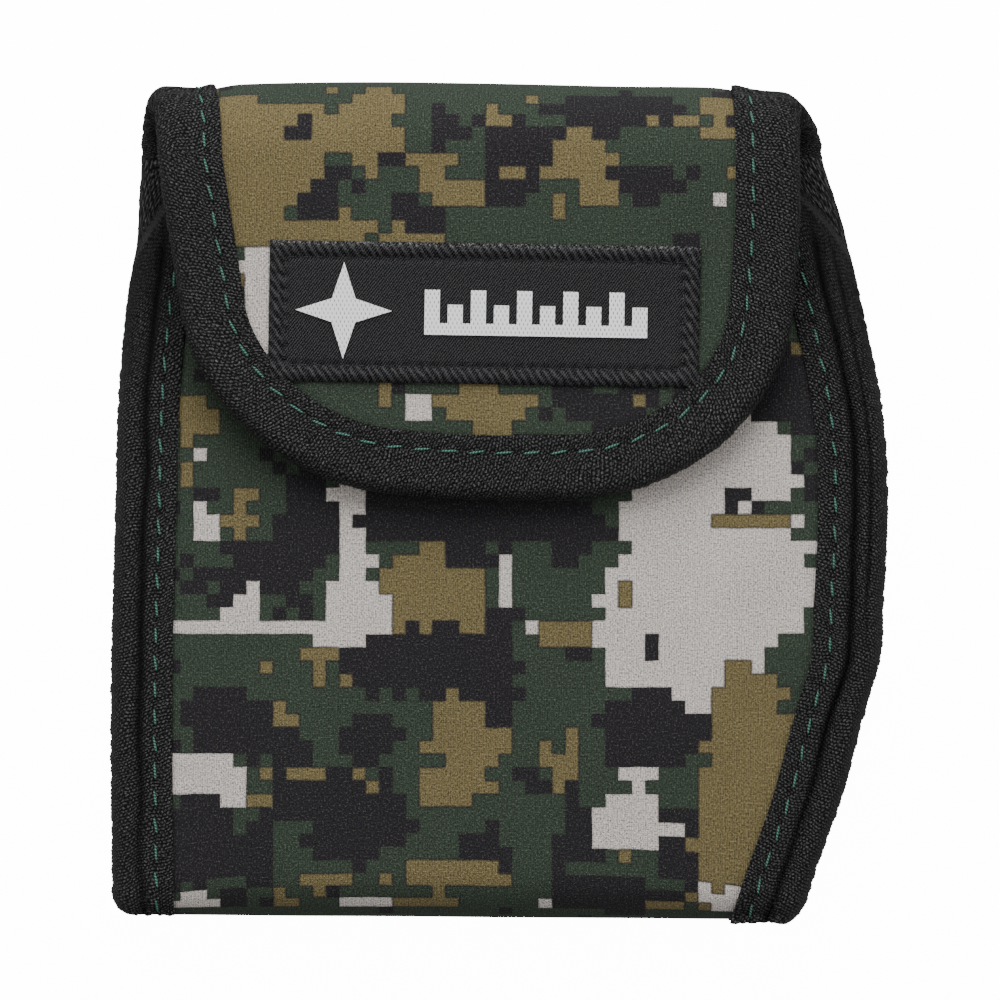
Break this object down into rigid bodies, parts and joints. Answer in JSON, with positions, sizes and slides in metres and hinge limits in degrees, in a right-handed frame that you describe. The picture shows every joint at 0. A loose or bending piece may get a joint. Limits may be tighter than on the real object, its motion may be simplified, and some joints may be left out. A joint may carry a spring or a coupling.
{
  "type": "flap pouch",
  "caption": "Soft flap pouch in camouflage knit-faced foam, with bound edges, a sewn-on woven label and a hook-and-loop flap closure.",
  "frame": {"origin": "under the middle of the pouch, in the plane that its flat back rests on", "axes": "+X across the pouch, to the right of someone facing its front with the flap at the top; +Y towards the top fold; +Z from the back to the front"},
  "size_m": [0.14, 0.1505, 0.0273],
  "materials": {
    "camo_knit": "matte printed jersey in blocks of dark green, olive brown, light grey and black",
    "foam_rubber": "closed-cell foam",
    "lining_knit": "matte black jersey",
    "binding_tape": "black ribbed grosgrain tape",
    "green_thread": "twisted polyester sewing thread with a slight sheen",
    "black_thread": "twisted polyester sewing thread",
    "label_satin": "black diagonal twill",
    "mark_weave": "white woven yarn",
    "hook_tape": "black nylon hooks on a woven tape",
    "loop_tape": "black brushed nylon loops"
  },
  "bodies": {
    "pouch": {"body_face_fabric": "camo_knit", "body_foam": "foam_rubber", "body_lining": "lining_knit", "left_side_binding": "binding_tape", "right_side_binding": "binding_tape", "left_seam_needle_thread": "green_thread", "left_seam_bobbin_thread": "green_thread", "right_seam_needle_thread": "green_thread", "right_seam_bobbin_thread": "green_thread", "mouth_binding": "binding_tape", "mouth_needle_thread": "green_thread", "mouth_bobbin_thread": "green_thread", "loop_patch": "loop_tape", "loop_patch_thread": "black_thread"},
    "fold_lower": {"fold_lower_face_fabric": "camo_knit", "fold_lower_foam": "foam_rubber", "fold_lower_lining": "lining_knit", "fold_lower_left_binding": "binding_tape", "fold_lower_left_thread": "green_thread", "fold_lower_right_binding": "binding_tape", "fold_lower_right_thread": "green_thread"},
    "fold_upper": {"fold_upper_face_fabric": "camo_knit", "fold_upper_foam": "foam_rubber", "fold_upper_lining": "lining_knit", "fold_upper_left_binding": "binding_tape", "fold_upper_left_thread": "green_thread", "fold_upper_right_binding": "binding_tape", "fold_upper_right_thread": "green_thread"},
    "flap": {"flap_face_fabric": "camo_knit", "flap_foam": "foam_rubber", "flap_lining": "lining_knit", "flap_binding": "binding_tape", "flap_needle_thread": "green_thread", "flap_bobbin_thread": "green_thread", "hook_patch": "hook_tape", "hook_patch_thread": "black_thread", "label": "label_satin", "label_thread": "black_thread", "label_compass_star": "mark_weave", "label_scale_bar": "mark_weave"}
  },
  "joints": [
    {"name": "lower_bend", "type": "hinge", "parent": "pouch", "child": "fold_lower", "pos_m": [0, 0.06753, 0.00399], "axis": [-1, 0, 0], "range_deg": [0, 59]},
    {"name": "middle_bend", "type": "hinge", "parent": "fold_lower", "child": "fold_upper", "pos_m": [0, 0.0731, 0.01365], "axis": [-1, 0, 0], "range_deg": [0, 59]},
    {"name": "upper_bend", "type": "hinge", "parent": "fold_upper", "child": "flap", "pos_m": [0, 0.06753, 0.02331], "axis": [-1, 0, 0], "range_deg": [0, 59]}
  ],
  "couplings": [
    {"joint": "middle_bend", "follows": "lower_bend", "ratio": 1},
    {"joint": "upper_bend", "follows": "lower_bend", "ratio": 1}
  ]
}
